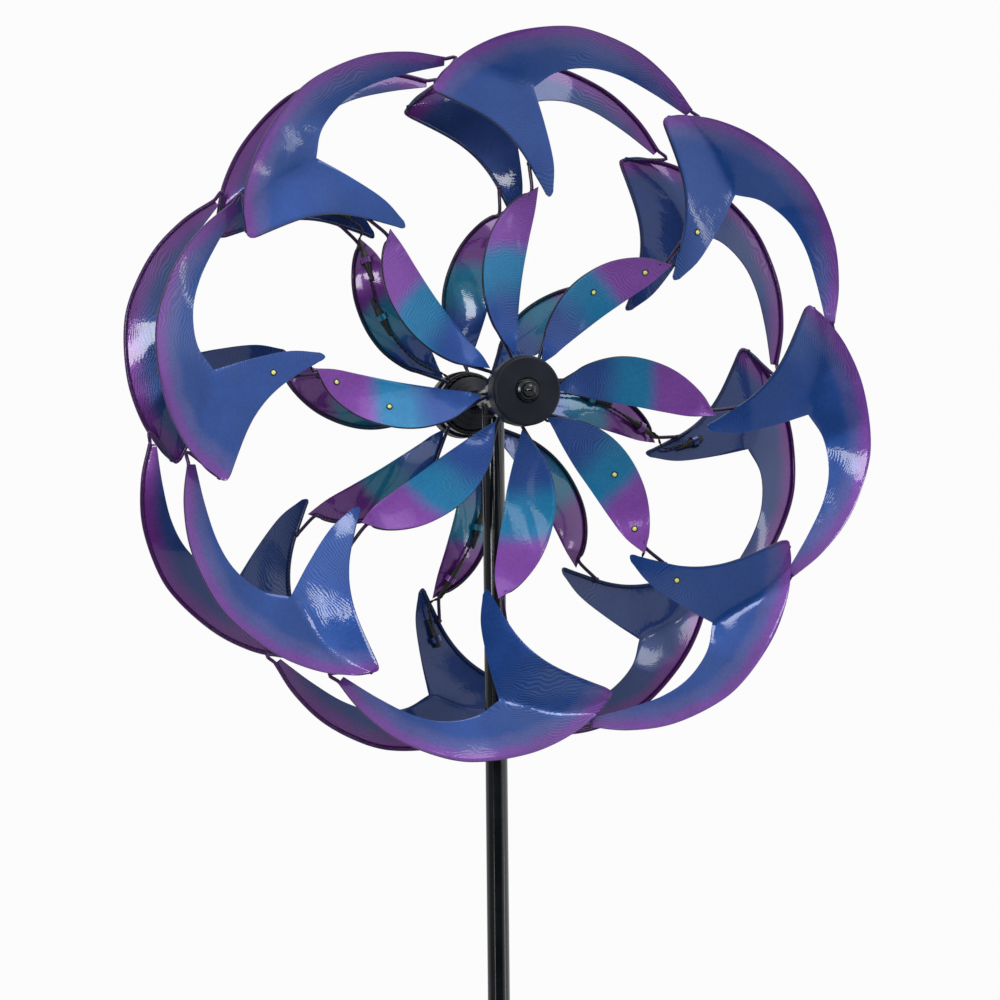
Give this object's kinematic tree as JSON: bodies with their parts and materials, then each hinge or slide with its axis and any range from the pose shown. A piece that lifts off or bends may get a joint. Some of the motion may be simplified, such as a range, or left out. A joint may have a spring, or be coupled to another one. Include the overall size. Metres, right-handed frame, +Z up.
{
  "type": "kinetic wind sculpture",
  "caption": "Garden wind spinner: contra-rotating bladed rotors on a shared axle, with LED leads behind the blades, on a sectional pole with a pronged ground stake.",
  "frame": {"origin": "the pole's axis at the ground line, on the underside of the stake's foot bar", "axes": "+Z up along the pole, -Y towards the front rotor along the axle, +X to the right seen from the front"},
  "size_m": [0.5886, 0.2486, 2.1342],
  "materials": {
    "leaf_enamel": "glossy metallic enamel, royal blue at the root through teal to purple at the tip",
    "blade_enamel": "glossy metallic enamel, deep blue with a purple rim",
    "rod_enamel": "glossy enamel, the colour of the sheet it is welded to",
    "black_enamel": "glossy black enamel",
    "hub_black": "satin black moulding",
    "bare_steel": "ground steel",
    "copper_winding": null,
    "magnet_ferrite": "dull ferrite",
    "black_rubber": "satin black insulation and boots",
    "led_lens": "clear epoxy over a pale yellow-green phosphor",
    "bush_nylon": "natural nylon"
  },
  "bodies": {
    "pole": {"pole_top": "black_enamel", "pole_middle": "black_enamel", "pole_base": "black_enamel", "ground_stake": "black_enamel", "clamp_screw": "black_enamel", "swivel_bush": "bush_nylon"},
    "head": {"head_tee": "black_enamel", "axle": "bare_steel", "front_dome_nut": "black_enamel", "rear_dome_nut": "black_enamel", "front_magnet_disc": "magnet_ferrite", "rear_magnet_disc": "magnet_ferrite"},
    "front_rotor": {"front_leaf_1": "leaf_enamel", "front_leaf_2": "leaf_enamel", "front_leaf_3": "leaf_enamel", "front_leaf_4": "leaf_enamel", "front_leaf_5": "leaf_enamel", "front_leaf_6": "leaf_enamel", "front_leaf_7": "leaf_enamel", "front_leaf_8": "leaf_enamel", "front_blade_1": "blade_enamel", "front_blade_2": "blade_enamel", "front_blade_3": "blade_enamel", "front_blade_4": "blade_enamel", "front_blade_5": "blade_enamel", "front_blade_6": "blade_enamel", "front_blade_7": "blade_enamel", "front_blade_8": "blade_enamel", "front_spoke_frame": "rod_enamel", "front_led_string": "black_rubber", "front_hub_drum": "hub_black", "front_hub_cap": "hub_black", "front_hub_bell": "black_enamel", "front_outer_bearing": "bare_steel", "front_inner_bearing": "bare_steel", "front_coil_ring": "copper_winding"},
    "rear_rotor": {"rear_leaf_1": "leaf_enamel", "rear_leaf_2": "leaf_enamel", "rear_leaf_3": "leaf_enamel", "rear_leaf_4": "leaf_enamel", "rear_leaf_5": "leaf_enamel", "rear_leaf_6": "leaf_enamel", "rear_leaf_7": "leaf_enamel", "rear_leaf_8": "leaf_enamel", "rear_blade_1": "blade_enamel", "rear_blade_2": "blade_enamel", "rear_blade_3": "blade_enamel", "rear_blade_4": "blade_enamel", "rear_blade_5": "blade_enamel", "rear_blade_6": "blade_enamel", "rear_blade_7": "blade_enamel", "rear_blade_8": "blade_enamel", "rear_spoke_frame": "rod_enamel", "rear_led_string": "black_rubber", "rear_hub_drum": "hub_black", "rear_hub_cap": "hub_black", "rear_hub_bell": "black_enamel", "rear_outer_bearing": "bare_steel", "rear_inner_bearing": "bare_steel", "rear_coil_ring": "copper_winding"}
  },
  "joints": [
    {"name": "head_swivel", "type": "hinge", "parent": "pole", "child": "head", "pos_m": [0, 0, 1.6], "axis": [0, 0, 1], "continuous": true},
    {"name": "front_rotor_spin", "type": "hinge", "parent": "head", "child": "front_rotor", "pos_m": [0, -0.083, 1.6], "axis": [0, 1, 0], "continuous": true},
    {"name": "rear_rotor_spin", "type": "hinge", "parent": "head", "child": "rear_rotor", "pos_m": [0, 0.083, 1.6], "axis": [0, 1, 0], "continuous": true}
  ]
}
